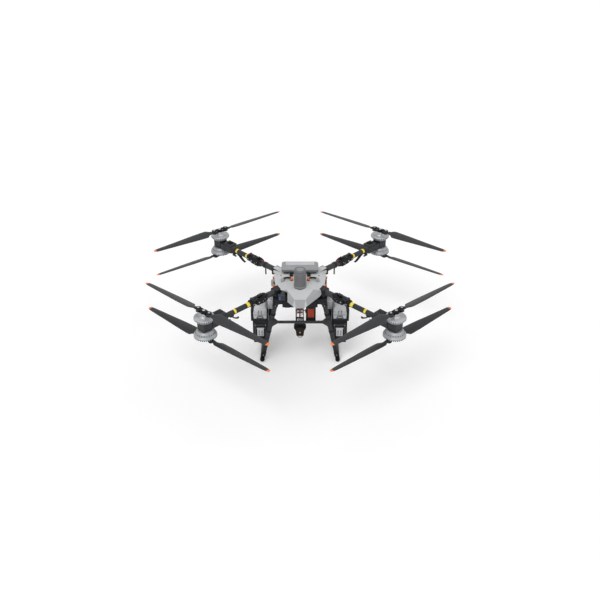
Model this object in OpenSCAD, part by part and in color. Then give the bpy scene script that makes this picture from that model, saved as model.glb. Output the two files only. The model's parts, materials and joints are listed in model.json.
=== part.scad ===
// Heavy-lift delivery drone: four folding arms, a coaxial pair of rotors on each,
// twin batteries beside the legs and a cargo winch under the body.
// X is across, -Y is the nose, +Z is up, and the feet stand on z = 0.

/* [Rotors] */
// Distance of the rotor axes from the middle, across
motor_x = 745; // [720:5:900]
// Distance of the rotor axes from the middle, along
motor_y = 705; // [680:5:860]
// Radius of a propeller
prop_r = 687.5; // [600:0.5:720]
// Height of the upper rotor plane
upper_z = 850; // [845:1:880]
// Height of the lower rotor plane
lower_z = 610; // [600:1:615]
// Distance of a blade's fold pin from the rotor axis
blade_pin_r = 60; // [56:1:64]
// Widest chord of a blade
blade_chord = 94; // [70:1:96]
// Radius of the blade fold pins
blade_pin_rad = 6; // [4:0.5:8]

/* [Arms] */
// Height of the arm tubes' centre line
arm_z = 718; // [712:1:724]
// Fold pin to rotor axis, front arms
front_len = 541; // [500:1:600]
// Fold pin to rotor axis, rear arms
rear_len = 462; // [440:1:560]
// Fold pin to body, front arms
front_root = 205; // [180:1:230]
// Fold pin to body, rear arms
rear_root = 272; // [240:1:300]
// Outer diameter of the folding tube
outer_tube_d = 44; // [34:1:46]
// Outer diameter of the fixed tube
inner_tube_d = 50; // [40:1:52]
// Wall of the arm tubes
tube_wall = 3; // [2:0.5:4]
// Radius of the arm fold pins
fold_pin_r = 8; // [6:0.5:10]

/* [Body] */
// Half width of the shell at its shoulders
shell_half_w = 207; // [190:1:225]
// Height of the shell's deck
deck_z = 762; // [755:1:768]
// Underside of the body
belly_z = 604; // [590:1:620]
// Radius of the sensor tower at its foot
tower_r = 54; // [44:1:58]
// Height of the sensor tower's top
tower_top = 922; // [890:1:940]

// Spacing of the payload plate's bolts, across
payload_x = 180; // [120:5:240]
// Spacing of the payload plate's bolts, fore and aft
payload_y = 90; // [60:5:100]
// Radius of the payload plate's bolt holes
payload_hole_r = 3.2; // [2.2:0.1:4.5]

/* [Undercarriage] */
// Half of the track between the two skid tubes
skid_x = 334; // [320:1:350]
// Fore and aft place of the legs
leg_y = 158; // [154:1:164]
// Diameter of the leg tubes
leg_d = 40; // [34:1:44]
// Height of the cross tubes
cross_z = 398; // [390:1:450]
// Diameter of the cross tubes
cross_d = 26; // [20:1:30]

/* [Batteries and winch] */
// Width of a battery
batt_w = 124; // [110:1:126]
// Length of a battery, fore and aft
batt_l = 220; // [180:1:230]
// Height of a battery
batt_h = 350; // [310:1:360]
// Height of the battery bay's floor
bay_z = 172; // [160:1:180]
// Radius of the winch drum's core
drum_r = 28; // [20:1:30]
// Radius of the winch line
line_r = 2.5; // [2:0.5:3.5]

/* [Clearances] */
// Radial running clearance of every pin
pin_clear = 0.05; // [0.02:0.01:0.1]
// Gap between faces that move past each other
face_clear = 0.4; // [0.3:0.1:0.6]

/* [Hidden] */
ENDS = ["fl", "fr", "rl", "rr"];
charcoal = "#34363a";
carbon = "#2a2b2d";
shell_grey = "#c5c7ca";
mid_grey = "#8f9092";
metal_grey = "#a5a8ab";
front_dir = 44.5;            // heading of the front arms, from the X axis
rear_dir = 43.9;             // heading of the rear arms
front_blade = 139.4;         // heading of the front propellers
rear_blade = 142.6;          // heading of the rear propellers
eye_r = 26;                  // radius of the knuckle round an arm fold pin
eye_w = 36;                  // width of that knuckle
cheek_t = 12;                // thickness of a bracket cheek
collar_x = 34;               // fold pin to the start of the folding tube's collar
lever_x = -56;               // lock lever's pin, along the arm from the fold pin
lever_z = 40;                // lock lever's pin, above the fold pin
lever_pin_r = 3;             // radius of that pin
hub_t = 17.6;                // height of a blade's eye
tube_seat = 8;               // depth of the folding tube's seat in the motor block
plate_t = 7;                 // thickness of a hub plate
shaft_r = 28;                // radius of the shaft between bell and hub
boss_r = 26;                 // radius of the hub's middle boss
block_side = 84;             // side of the square motor block
bell_r = 84;                 // radius of the upper motor bell
low_bell_r = 93;             // radius of the lower motor bell
block_top = 766;             // top of the motor block
block_bottom = 690;          // underside of the motor block
motor_gap = 1;               // air gap between a bell and the block
mount_r = 26;                // radius of the fixed boss on which a bell turns
payload_y0 = 105;            // middle of the payload bolts, fore and aft
pod_lift = 24;               // height of the pod above the deck
tower_y = -158;              // fore and aft place of the sensor tower
clamp_in = 80;               // reach of an arm's root clamp into the frame
clamp_out = 12;               // reach of a root clamp along its arm, outwards
clamp_w = 34;                // half width of a root clamp
clamp_top = 26;              // top of a root clamp above the tube's middle
socket_at = [148, -80, 17];  // power socket on the deck: place and radius
plug_at = [70, -74, 9];      // lead plug on the deck: place and radius
cam_x = -158;                // nose camera's left edge of its drum
cam_y = -226;                // nose camera's tilt axis, fore and aft
cam_z = 700;                 // nose camera's tilt axis, height
cam_pin_r = 5;               // radius of its tilt pin
cam_pin_gap = 0.3;           // running gap round that pin
winch_y = -80;               // fore and aft place of the hanging line
drum_z = 450;                // height of the winch drum
drum_y = drum_r + line_r + 0.5; // drum axle behind the hanging line
drum_half = 26;              // half width of the winch drum's core
frame_half = 34;             // half width of the winch frame
frame_y = 54;                // half depth of the winch frame
axle_r = 5;                  // radius of the winch axle
hook_top = 322;              // top of the hook unit
leg_top_x = 196;             // legs at the body, across
leg_top_y = 156;             // legs at the body, along
leg_top_z = 640;             // legs at the body, height
inner_wall_h = 286;          // height of the bays' inner wall
cap_r = 21;                  // radius of the skid tubes' caps
skid_r = 18;                 // radius of the skid tubes
cap_len = 5;                 // straight part of an end cap, beside the leg
cap_gap = 1;                 // between a leg and the end cap beside it
skid_half = leg_y + leg_d / 2 + cap_gap + cap_len; // half length of the skid tubes
head_h = 130;                // height of a battery's light head
bay_wall = 5;                // wall of the battery bays
bay_front = leg_d / 2 + bay_wall + 3 - leg_y; // front face of the batteries, clear of the front legs
bay_in = 284;                // inner face of the battery, across

function front(e) = e[0] == "f";
function left(e) = e[1] == "l";
function arm_len(e) = front(e) ? front_len : rear_len;
function arm_root(e) = front(e) ? front_root : rear_root;
function arm_dir(e) = front(e) ? front_dir : rear_dir;
function blade_dir(e) = front(e) ? front_blade : rear_blade;
function plane_z(l) = l == "upper" ? upper_z : lower_z;

// Places its children at a rotor axis, seen from the rear right corner
module corner(e)
  mirror([left(e) ? 1 : 0, 0, 0]) mirror([0, front(e) ? 1 : 0, 0])
    translate([motor_x, motor_y, 0]) children();
// Places its children at an arm's fold pin, with local X pointing outboard
module at_fold(e)
  corner(e) rotate([0, 0, arm_dir(e)]) translate([-arm_len(e), 0, arm_z]) children();
module both_sides() for (s = [0, 1]) mirror([s, 0, 0]) children();
module both_ends() for (s = [0, 1]) mirror([0, s, 0]) children();
module lying(r, h) rotate([0, 90, 0]) cylinder(r = r, h = h, $fn = 48);
module across(r, h) rotate([90, 0, 0]) cylinder(r = r, h = h, center = true, $fn = 48);
module block(x0, x1, y0, y1, z0, z1) translate([x0, y0, z0]) cube([x1 - x0, y1 - y0, z1 - z0]);

// Arms: everything here is drawn round the fold pin
module arm_tube(e) {
  run = arm_len(e);
  color(charcoal) at_fold(e) difference() {
    union() {
      across(eye_r, eye_w - 2 * face_clear);
      block(0, collar_x + 4, -eye_w / 2 + face_clear, eye_w / 2 - face_clear, -15, 15);
      translate([collar_x, 0, 0]) rotate([0, 90, 0]) cylinder(r = 28, h = 34, $fn = 8);
      translate([collar_x + 34, 0, 0]) lying(outer_tube_d / 2 + 3, 8);
      translate([collar_x, 0, 0]) lying(outer_tube_d / 2, run - collar_x - block_side / 2 + tube_seat);
    }
    across(fold_pin_r + pin_clear, eye_w + 2);
  }
}
module inner_arms() color(charcoal) for (e = ENDS) at_fold(e)
  translate([-arm_root(e), 0, 0]) difference() {
    lying(inner_tube_d / 2, arm_root(e) - 40);
    translate([-1, 0, 0]) lying(inner_tube_d / 2 - tube_wall, arm_root(e) - 38);
  }
module hinge_brackets() color(carbon) for (e = ENDS) at_fold(e) difference() {
  union() {
    for (s = [-1, 1]) translate([0, s * (eye_w + cheek_t) / 2, 0]) {
      across(28, cheek_t);
      block(-40, 0, -cheek_t / 2, cheek_t / 2, -28, 28);
    }
    block(-74, -32, -eye_w / 2 - cheek_t, eye_w / 2 + cheek_t, -31, 31);
    for (s = [-1, 1]) translate([lever_x, s * 11.5, 0]) {
      block(-7, 7, -2.5, 2.5, 30, lever_z);
      translate([0, 0, lever_z]) across(7, 5);
    }
  }
  translate([-80, 0, 0]) lying(inner_tube_d / 2 + pin_clear, 41);
  across(fold_pin_r, eye_w + 2 * cheek_t + 2);
  translate([lever_x, 0, lever_z]) across(lever_pin_r, 40);
}
module hinge_pins() color("silver") for (e = ENDS) at_fold(e) {
  across(fold_pin_r, eye_w + 2 * cheek_t);
  for (s = [-1, 1]) translate([0, s * (eye_w / 2 + cheek_t + 2.5), 0])
    rotate([90, 0, 0]) cylinder(r = fold_pin_r + 4, h = 5, center = true, $fn = 6);
  translate([lever_x, 0, lever_z]) across(lever_pin_r, 30);
}
module lock_lever(e) color(carbon) at_fold(e) difference() {
  union() {
    translate([lever_x, 0, lever_z]) across(6, 17);
    block(lever_x, 58, -8.5, 8.5, lever_z - 3, lever_z + 5);
    block(40, 58, -15, 15, lever_z - 3, lever_z + 5);
    block(52, 58, -15, 15, 28.5, lever_z);
    translate([-20, 0, lever_z + 5]) cylinder(r = 7, h = 4, $fn = 48);
  }
  translate([lever_x, 0, lever_z]) across(lever_pin_r + pin_clear, 20);
}
// Motor mount: the square block between the bells and the speed controller's box inboard of it
module motor_mount(e) color(charcoal) at_fold(e) translate([arm_len(e), 0, -arm_z]) {
  difference() {
    union() {
      translate([0, 0, block_bottom]) linear_extrude(block_top - block_bottom)
        square(block_side, center = true);
      for (z = [block_top, block_bottom - 10]) translate([0, 0, z]) cylinder(r = mount_r, h = 10, $fn = 64);
    }
    translate([-block_side / 2 - 20, 0, arm_z]) lying(outer_tube_d / 2 + pin_clear, 20 + tube_seat);
  }
  difference() {
    union() {
      block(-190, -48, -40, 40, arm_z - 27, arm_z + 30);
      block(-186, -bell_r - 8, -36, 36, arm_z + 30, arm_z + 50);
    }
    translate([-195, 0, arm_z]) lying(outer_tube_d / 2 + pin_clear, 200);
    for (i = [0 : 4]) translate([-172 + i * 17, 0, arm_z + 50])
      rotate([0, 0, 20]) cube([7, 52, 8], center = true);
  }
  // Clip that holds the folded blades
  translate([0, 0, arm_z]) difference() {
    union() {
      block(-215, -195, -27, 27, -38, -8);
      for (s = [-1, 1]) block(-240, -195, s * 22 - 5, s * 22 + 5, -46, -34);
    }
    translate([-250, 0, 0]) lying(outer_tube_d / 2 + pin_clear, 100);
  }
}
module upper_bell() rotate_extrude($fn = 96) polygon([
  [mount_r + pin_clear, block_top + motor_gap], [60, block_top + motor_gap], [66, block_top + 10],
  [72, block_top + 13], [bell_r - 4, block_top + 21], [bell_r, block_top + 26], [bell_r, block_top + 37],
  [bell_r - 5, block_top + 41], [34, block_top + 43], [shaft_r, block_top + 50],
  [shaft_r, upper_z - hub_t / 2 - 2], [0, upper_z - hub_t / 2 - 2],
  [0, block_top + 11], [mount_r + pin_clear, block_top + 11]]);
module lower_bell() rotate_extrude($fn = 96) polygon([
  [mount_r + pin_clear, block_bottom - motor_gap], [60, block_bottom - motor_gap], [66, block_bottom - 12],
  [76, block_bottom - 18], [80, block_bottom - 32], [low_bell_r, block_bottom - 42],
  [low_bell_r, block_bottom - 54], [low_bell_r - 7, block_bottom - 60], [shaft_r, block_bottom - 60],
  [shaft_r, lower_z + hub_t / 2 + 2], [0, lower_z + hub_t / 2 + 2], [0, block_bottom - 11],
  [mount_r + pin_clear, block_bottom - 11]]);
// A rotor turns as one: motor bell, hub plates, boss and blade pins
module rotor(e, l) {
  z = plane_z(l);
  plate_gap = hub_t / 2 + 0.2;
  color(metal_grey) corner(e) if (l == "upper") upper_bell(); else lower_bell();
  color(carbon) corner(e) translate([0, 0, z]) rotate([0, 0, blade_dir(e)]) {
    cylinder(r = boss_r, h = hub_t + 4, center = true, $fn = 48);
    for (s = [-1, 1]) translate([0, 0, s * (plate_gap + plate_t / 2)]) {
      cube([2 * blade_pin_r, 34, plate_t], center = true);
      for (t = [-1, 1]) translate([t * blade_pin_r, 0, 0])
        cylinder(r = 23, h = plate_t, center = true, $fn = 48);
    }
    for (t = [-1, 1]) translate([t * blade_pin_r, 0, 0]) {
      cylinder(r = blade_pin_rad, h = hub_t + 2 * plate_t, center = true, $fn = 48);
      for (s = [0, 1]) mirror([0, 0, s]) translate([0, 0, plate_gap + plate_t - 0.5])
        cylinder(r = 10, h = 4, $fn = 48);
    }
  }
}
// One ring of a blade: [radius share, chord share, thickness, pitch]
BLADE_RINGS = [[0.14, 0.42, 14, 16], [0.19, 0.86, 12, 15], [0.25, 1, 10.5, 14], [0.4, 0.94, 8.5, 12],
  [0.6, 0.76, 7, 10], [0.8, 0.6, 5.5, 8], [0.93, 0.49, 4.5, 7], [0.985, 0.34, 3.6, 7], [1, 0.16, 3, 7]];
BLADE_SECTION = [[-0.5, 0], [-0.36, 0.42], [-0.08, 0.5], [0.3, 0.26], [0.5, 0], [0.3, -0.2],
  [-0.08, -0.34], [-0.36, -0.34]];
function ring(r) = [for (p = BLADE_SECTION)
  let (c = p[0] * r[1] * blade_chord, t = p[1] * r[2], a = -r[3])
  [r[0] * prop_r, c * cos(a) - t * sin(a), c * sin(a) + t * cos(a)]];
function side(i, n) = [for (k = [0 : n - 1], h = [0, 1]) h == 0
  ? [i * n + k, i * n + (k + 1) % n, (i + 1) * n + k]
  : [i * n + (k + 1) % n, (i + 1) * n + (k + 1) % n, (i + 1) * n + k]];
// Turns clockwise from above, with the thick leading edge at -Y and higher than the trailing edge
module blade_loft() {
  n = len(BLADE_SECTION);
  rows = len(BLADE_RINGS);
  polyhedron(points = [for (r = BLADE_RINGS) each ring(r)],
    faces = concat([[for (k = [n - 1 : -1 : 0]) k]], [for (i = [0 : rows - 2]) each side(i, n)],
      [[for (k = [0 : n - 1]) (rows - 1) * n + k]]));
}
module blade(e, l, s) {
  // The upper blade is the lower one's mirror image, as the rotors of a pair turn opposite ways
  color(charcoal) corner(e) translate([0, 0, plane_z(l)])
    rotate([0, 0, blade_dir(e) + (s == "a" ? 0 : 180)]) difference() {
      union() {
        translate([blade_pin_r, 0, 0]) cylinder(r = 20, h = hub_t, center = true, $fn = 48);
        translate([blade_pin_r, -15, -6]) cube([0.16 * prop_r - blade_pin_r, 30, 12]);
        mirror([0, l == "upper" ? 1 : 0, 0]) blade_loft();
      }
      translate([blade_pin_r, 0, 0])
        cylinder(r = blade_pin_rad + pin_clear, h = hub_t + 2, center = true, $fn = 48);
    }
}

// Body
module shell_solid(d) hull() {
  // Shoulders, notch, nose facets and rear corners, moved inwards by d
  for (p = [[shell_half_w + 22, 55, deck_z - 4], [shell_half_w, -138, deck_z - 22], [174, -192, deck_z - 22],
      [168, -226, deck_z - 64], [114, -204, deck_z - 8], [46, -300, deck_z - 50], [34, -330, deck_z - 118],
      [60, -318, deck_z - 104], [150, 20, deck_z + 12], [120, -110, deck_z + 6], [160, 60, deck_z + 6],
      [shell_half_w, -120, deck_z - 60], [shell_half_w + 14, 60, deck_z - 60]])
    for (s = [-1, 1]) translate([s * (p[0] - d), p[1] + (p[1] < 0 ? d : -d), p[2] - d])
      cube(0.5, center = true);
}
module top_shell() color(shell_grey) difference() {
  shell_solid(0);
  translate([0, 0, -1]) shell_solid(4);
  block(-400, 400, -400, 200, 500, deck_z - 119);
  for (e = ENDS) at_fold(e)
    block(-arm_root(e) - clamp_in - 1, 0, -clamp_w - 1, clamp_w + 1, -150, clamp_top + 1);
  translate([0, tower_y, deck_z - 80]) cylinder(r = tower_r + 0.3, h = 140, $fn = 72);
  both_sides() for (p = [socket_at, plug_at]) translate([p[0], p[1], deck_z - 60])
    cylinder(r = p[2] + 0.3, h = 120, $fn = 48);
  // Notch for the nose camera
  block(-400, cam_x + 42, -400, cam_y + 40, 500, deck_z - 20);
}
module centre_frame() color(carbon) {
  difference() {
    block(-150, 150, -190, 205, belly_z, deck_z - 64);
    block(-142, 142, -182, 197, belly_z + 6, deck_z - 63);
    // Holes for the payload plate
    for (x = [-1, 1], y = [-1, 1]) translate([x * payload_x / 2, payload_y0 + y * payload_y / 2, belly_z - 1])
      cylinder(r = payload_hole_r, h = 8, $fn = 32);
  }
  for (e = ENDS) at_fold(e) difference() {
    block(-arm_root(e) - clamp_in, -arm_root(e) + clamp_out, -clamp_w, clamp_w, -34, clamp_top);
    translate([-arm_root(e), 0, 0]) lying(inner_tube_d / 2 + pin_clear, 100);
  }
  // Sockets for the legs
  both_sides() both_ends() difference() {
    block(140, leg_top_x + 30, leg_top_y - 32, leg_top_y + 32, belly_z, leg_top_z + 6);
    translate([leg_top_x, leg_top_y, belly_z - 1]) cylinder(r = leg_d / 2 + 6 + pin_clear, h = 60, $fn = 48);
  }
  // Front rail under the belly
  block(-150, 150, -190, -160, belly_z - 36, belly_z + 1);
  // Shelves under the sensor tower and under the pod's rails
  for (y = [[-189, tower_y + 30], [70, 204]]) block(-149, 149, y[0], y[1], deck_z - 72, deck_z - 64);
  // Bracket and pin of the nose camera
  block(cam_x + 32.4, cam_x + 40, cam_y - 14, -188, 690, 712);
  translate([cam_x - 30, cam_y, cam_z]) lying(cam_pin_r, 66);
  for (s = [-1, 1]) block(s * 192 - 8, s * 192 + 8, -105, 110, 640, deck_z - 64);
  for (s = [-1, 1]) block(s * 170 - 22, s * 170 + 22, -60, 60, 650, deck_z - 70);
  // Rear rails that carry the parachute pod
  for (s = [-1, 1]) block(s * 74 - 16, s * 74 + 16, 66, 130, deck_z - 80, deck_z + pod_lift);
}
module sensor_tower() color("#6a6a6b") translate([0, tower_y, 0]) rotate_extrude($fn = 72) polygon([
  [0, deck_z - 64], [tower_r, deck_z - 64], [tower_r, deck_z + 6], [tower_r - 4, deck_z + 60],
  [tower_r - 5, tower_top - 8], [tower_r - 10, tower_top], [0, tower_top]]);
module parachute_pod() color(mid_grey) translate([0, 0, deck_z + pod_lift + face_clear]) hull()
  for (s = [-1, 1], p = [[146, 20, 0], [156, 16, 12], [156, 24, 40], [136, 49, 58],
      [146, 134, 0], [156, 140, 12], [156, 136, 40], [136, 116, 58]])
    translate([s * p[0], p[1], p[2]]) cylinder(r = 3, h = 0.5, $fn = 24);
module power_leads() color(carbon) both_sides() translate([108, -104, deck_z + 22])
  rotate([0, 0, 40]) rotate_extrude(angle = 100, $fn = 48) translate([46, 0]) circle(r = 7, $fn = 24);
module lead_plugs() both_sides() {
  color("orangered") translate([plug_at[0], plug_at[1], deck_z - 20]) {
    cylinder(r = plug_at[2], h = 42, $fn = 48);
    translate([0, 0, 42]) sphere(r = plug_at[2] + 2, $fn = 48);
  }
  color(mid_grey) translate([socket_at[0], socket_at[1], deck_z - 30])
    cylinder(r = socket_at[2], h = 62, $fn = 48);
}
module antennas() color(carbon) for (e = ["rl", "rr"]) at_fold(e) {
  translate([-158, 0, 0]) difference() {
    rotate([0, 90, 0]) cylinder(r = inner_tube_d / 2 + 4, h = 22, $fn = 48);
    translate([-1, 0, 0]) lying(inner_tube_d / 2, 24);
  }
  translate([-147, 0, -inner_tube_d / 2 - 68]) cylinder(r = 6, h = 68, $fn = 32);
}

// Undercarriage
function leg_at(z) = let (t = (z - 20) / (leg_top_z - 20))
  [skid_x + (leg_top_x - skid_x) * t, leg_y + (leg_top_y - leg_y) * t, z];
module leg(r, z0, z1) {
  a = leg_at(z0);
  v = leg_at(z1) - a;
  translate(a) rotate([0, acos(v[2] / norm(v)), atan2(v[1], v[0])]) cylinder(r = r, h = norm(v), $fn = 48);
}
module landing_legs() color(carbon) both_sides() both_ends() difference() {
  union() {
    difference() {
      leg(leg_d / 2, 20, leg_top_z);
      block(0, 500, -500, 500, belly_z - 1, belly_z + 100);
    }
    translate([leg_top_x, leg_top_y, belly_z - 18]) cylinder(r = leg_d / 2 + 6, h = 52, $fn = 48);
  }
  translate([skid_x, 0, cap_r]) rotate([90, 0, 0])
    cylinder(r = skid_r + pin_clear, h = 900, center = true, $fn = 48);
}
module skid_tubes() color(carbon) both_sides() translate([skid_x, 0, cap_r])
  rotate([90, 0, 0]) cylinder(r = skid_r, h = 2 * skid_half, center = true, $fn = 48);
module skid_caps() color("black") both_sides() both_ends()
  translate([skid_x, skid_half, cap_r]) difference() {
  union() {
    rotate([90, 0, 0]) cylinder(r = cap_r, h = cap_len, $fn = 48);
    sphere(r = cap_r, $fn = 48);
  }
  block(-cap_r - 1, cap_r + 1, -cap_r - 1, -cap_len, -cap_r - 1, cap_r + 1);
  rotate([90, 0, 0]) cylinder(r = skid_r + pin_clear, h = 100, $fn = 48);
}
module cross_braces() color(carbon) both_ends() {
  y = leg_at(cross_z)[1];
  x = leg_at(cross_z)[0];
  difference() {
    union() {
      translate([-x, y, cross_z]) lying(cross_d / 2, 2 * x);
      both_sides() translate([x, y, cross_z]) rotate([90, 0, 0]) linear_extrude(14, center = true)
        polygon([[4, -50], [-64, -6], [-64, 6], [-16, 50]]);
      both_sides() leg(leg_d / 2 + 5, cross_z - 34, cross_z + 34);
    }
    both_sides() leg(leg_d / 2 + pin_clear, cross_z - 80, cross_z + 80);
  }
}

// Batteries in their bays
module batt_place() translate([bay_in, bay_front, bay_z + bay_wall]) children();
module battery_bays() color(carbon) both_sides() difference() {
  batt_place() bay_walls();
  for (s = [-1, 1]) scale([1, s, 1]) leg(leg_d / 2 + pin_clear, 300, 460);
}
module bay_walls() {
  block(-bay_wall - 1, -1, -bay_wall - 1, batt_l + bay_wall + 1, -bay_wall, inner_wall_h);
  block(-bay_wall - 1, batt_w - 4, -bay_wall - 1, batt_l + bay_wall + 1, -bay_wall, -face_clear);
  for (y = [-bay_wall - 1, batt_l + 1])
    block(-bay_wall - 1, batt_w - 4, y, y + bay_wall, -bay_wall, batt_h - head_h);
  // Straps that hold the bay to the legs
  for (z = [130, 158]) {
    block(-28, -2, -26, -bay_wall, z, z + 18);
    block(-28, -2, batt_l + 1, -bay_front + leg_y - 16, z, z + 18);
  }
}
module power_boxes() color(mid_grey) both_sides() batt_place()
  block(-44, -1, 80, 190, inner_wall_h, inner_wall_h + 82);
module battery() batt_place() {
  color(charcoal) block(0, batt_w, 0, batt_l, 0, batt_h - head_h);
  color(shell_grey) hull() for (x = [8, batt_w - 8], y = [4, batt_l - 8]) {
    translate([x, y, batt_h - head_h]) cylinder(r = 8, h = head_h - 36, $fn = 24);
    translate([x, y + (y < 50 ? 26 : -10), batt_h - 8]) cylinder(r = 6, h = 8, $fn = 24);
  }
  color(carbon) for (y = [20, batt_l - 40]) block(batt_w, batt_w + 10, y, y + 20, batt_h - 130, batt_h - 20);
  color(carbon) block(batt_w + 10, batt_w + 18, 10, batt_l - 10, batt_h - 130, batt_h - 20);
}
module battery_right() battery();
module battery_left() mirror([1, 0, 0]) battery();

// Winch, line and hook
module winch_frame() color(carbon) translate([0, winch_y, 0]) difference() {
  union() {
    for (s = [-1, 1]) block(s * 31 - 3, s * 31 + 3, -frame_y, frame_y, 360, belly_z);
    block(-frame_half, frame_half, -frame_y, frame_y, 360, 368);
    block(-frame_half, frame_half, -frame_y, frame_y, belly_z - 8, belly_z);
    block(64, 130, -44, -38, 402, 480);
    block(124, 130, -44, 30, 402, belly_z);
    block(64, 130, -44, 30, 396, 402);
    for (y = [-12, 12]) translate([-28, y, 374]) lying(5, 56);
  }
  translate([-50, drum_y, drum_z]) lying(axle_r + pin_clear, 100);
  cylinder(r = line_r + 4, h = 500, $fn = 32);
  translate([0, 0, belly_z - 20]) cylinder(r = line_r + 4, h = 30, $fn = 32);
}
module winch_motor() color("#b8452c") translate([0, winch_y, 0]) {
  block(70, 122, -36, 28, 402, 484);
  translate([45, drum_y - 12, drum_z]) lying(16, 25.2);
  translate([45, drum_y, drum_z]) lying(9, 12);
}
module winch_drum() color(metal_grey) translate([0, winch_y + drum_y, drum_z]) {
  translate([-drum_half, 0, 0]) lying(drum_r, 2 * drum_half);
  for (s = [-1, 1]) translate([s * (drum_half - 1.5) - 1.5, 0, 0]) lying(drum_r + 8, 3);
  translate([-40, 0, 0]) lying(axle_r, 84.7);
}
module winch_line() color("#8c2a22") translate([0, winch_y, hook_top])
  cylinder(r = line_r, h = 264, $fn = 24);
module cargo_hook() translate([0, winch_y, 0]) {
  color(carbon) difference() {
    union() {
      hull() {
        translate([0, 0, hook_top - 34]) cylinder(r1 = 44, r2 = 54, h = 22, $fn = 32);
        translate([0, 0, hook_top - 12]) cylinder(r1 = 54, r2 = 40, h = 11.7, $fn = 32);
      }
      block(-32, 32, -26, 26, 214, hook_top - 30);
    }
    block(-20, 20, -18, 18, 200, 232);
  }
  color("orangered") translate([0, -26, 262]) across(6, 6);
  color("silver") difference() {
    translate([0, 0, 206]) rotate([90, 0, 0]) cylinder(r = 26, h = 12, center = true, $fn = 48);
    translate([0, 0, 206]) rotate([90, 0, 0]) cylinder(r = 14, h = 14, center = true, $fn = 48);
    block(10, 40, -10, 10, 196, 210);
  }
}
module camera() translate([cam_x, cam_y, cam_z]) {
  color("#4a4a4c") difference() {
    union() {
      translate([-4, 0, 0]) lying(34, 36);
      block(-26, -4, -30, 10, -20, 20);
      for (z = [-9, 9]) translate([-15, -32, z]) across(7, 6);
    }
    translate([-40, 0, 0]) lying(cam_pin_r + cam_pin_gap, 100);
  }
}

top_shell();
centre_frame();
sensor_tower();
parachute_pod();
power_leads();
lead_plugs();
inner_arms();
hinge_brackets();
hinge_pins();
battery_bays();
power_boxes();
landing_legs();
skid_tubes();
skid_caps();
cross_braces();
winch_frame();
winch_motor();
antennas();
camera();
winch_drum();
winch_line();
cargo_hook();
battery_left();
battery_right();
for (e = ENDS) {
  arm_tube(e);
  motor_mount(e);
  lock_lever(e);
  for (l = ["upper", "lower"]) {
    rotor(e, l);
    for (s = ["a", "b"]) blade(e, l, s);
  }
}
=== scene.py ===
"""Coaxial cargo drone: finishes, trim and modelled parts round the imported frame. Units are metres."""
import json
from math import atan2, cos, pi, radians, sin

import bmesh
import bpy
from mathutils import Matrix, Vector


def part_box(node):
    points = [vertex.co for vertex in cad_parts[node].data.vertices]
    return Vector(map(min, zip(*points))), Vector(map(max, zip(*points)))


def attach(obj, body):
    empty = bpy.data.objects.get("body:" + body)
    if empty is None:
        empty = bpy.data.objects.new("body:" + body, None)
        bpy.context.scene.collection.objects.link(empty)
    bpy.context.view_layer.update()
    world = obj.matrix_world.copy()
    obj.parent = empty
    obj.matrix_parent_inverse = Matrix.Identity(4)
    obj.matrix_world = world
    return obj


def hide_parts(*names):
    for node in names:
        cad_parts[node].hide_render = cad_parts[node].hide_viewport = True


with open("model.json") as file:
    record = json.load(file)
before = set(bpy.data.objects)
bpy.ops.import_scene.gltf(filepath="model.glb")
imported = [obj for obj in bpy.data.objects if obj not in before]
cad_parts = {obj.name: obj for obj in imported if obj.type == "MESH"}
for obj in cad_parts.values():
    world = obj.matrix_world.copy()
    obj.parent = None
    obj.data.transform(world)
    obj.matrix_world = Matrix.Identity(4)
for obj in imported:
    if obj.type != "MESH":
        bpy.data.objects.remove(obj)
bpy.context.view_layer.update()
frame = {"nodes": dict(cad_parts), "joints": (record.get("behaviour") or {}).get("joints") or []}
NODES = frame["nodes"]
JOINT = {j["name"]: j for j in frame["joints"]}
ENDS = ("fl", "fr", "rl", "rr")
LEVELS = ("upper", "lower")
MM = 0.001
# The mottling of every finish comes in patches of about 70 mm
CLOUD_SCALE = 14.0
# How deep the grain of a finish is, in metres
GRAIN_DEPTH = 0.0004
# Pointiness at which edge wear starts and is full, and the share of the wear colour there
WEAR_FROM, WEAR_FULL, WEAR_SHARE = 0.52, 0.62, 0.6
# A wave texture of scale 1 repeats every 0.31 m
WAVE_PERIOD = 0.31


# ---------------------------------------------------------------- materials
def linear(hex_code):
    """An sRGB hex colour as linear RGBA."""
    parts = [int(hex_code[i:i + 2], 16) / 255 for i in (1, 3, 5)]
    return [c / 12.92 if c <= 0.04045 else ((c + 0.055) / 1.055) ** 2.4 for c in parts] + [1.0]


def add(tree, kind, links=None, **settings):
    """Adds a node. links maps an input to a value or to an output of another node."""
    node = tree.nodes.new(kind)
    for key, value in settings.items():
        setattr(node, key, value)
    for key, value in (links or {}).items():
        if isinstance(value, bpy.types.NodeSocket):
            tree.links.new(value, node.inputs[key])
        else:
            node.inputs[key].default_value = value
    return node


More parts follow.
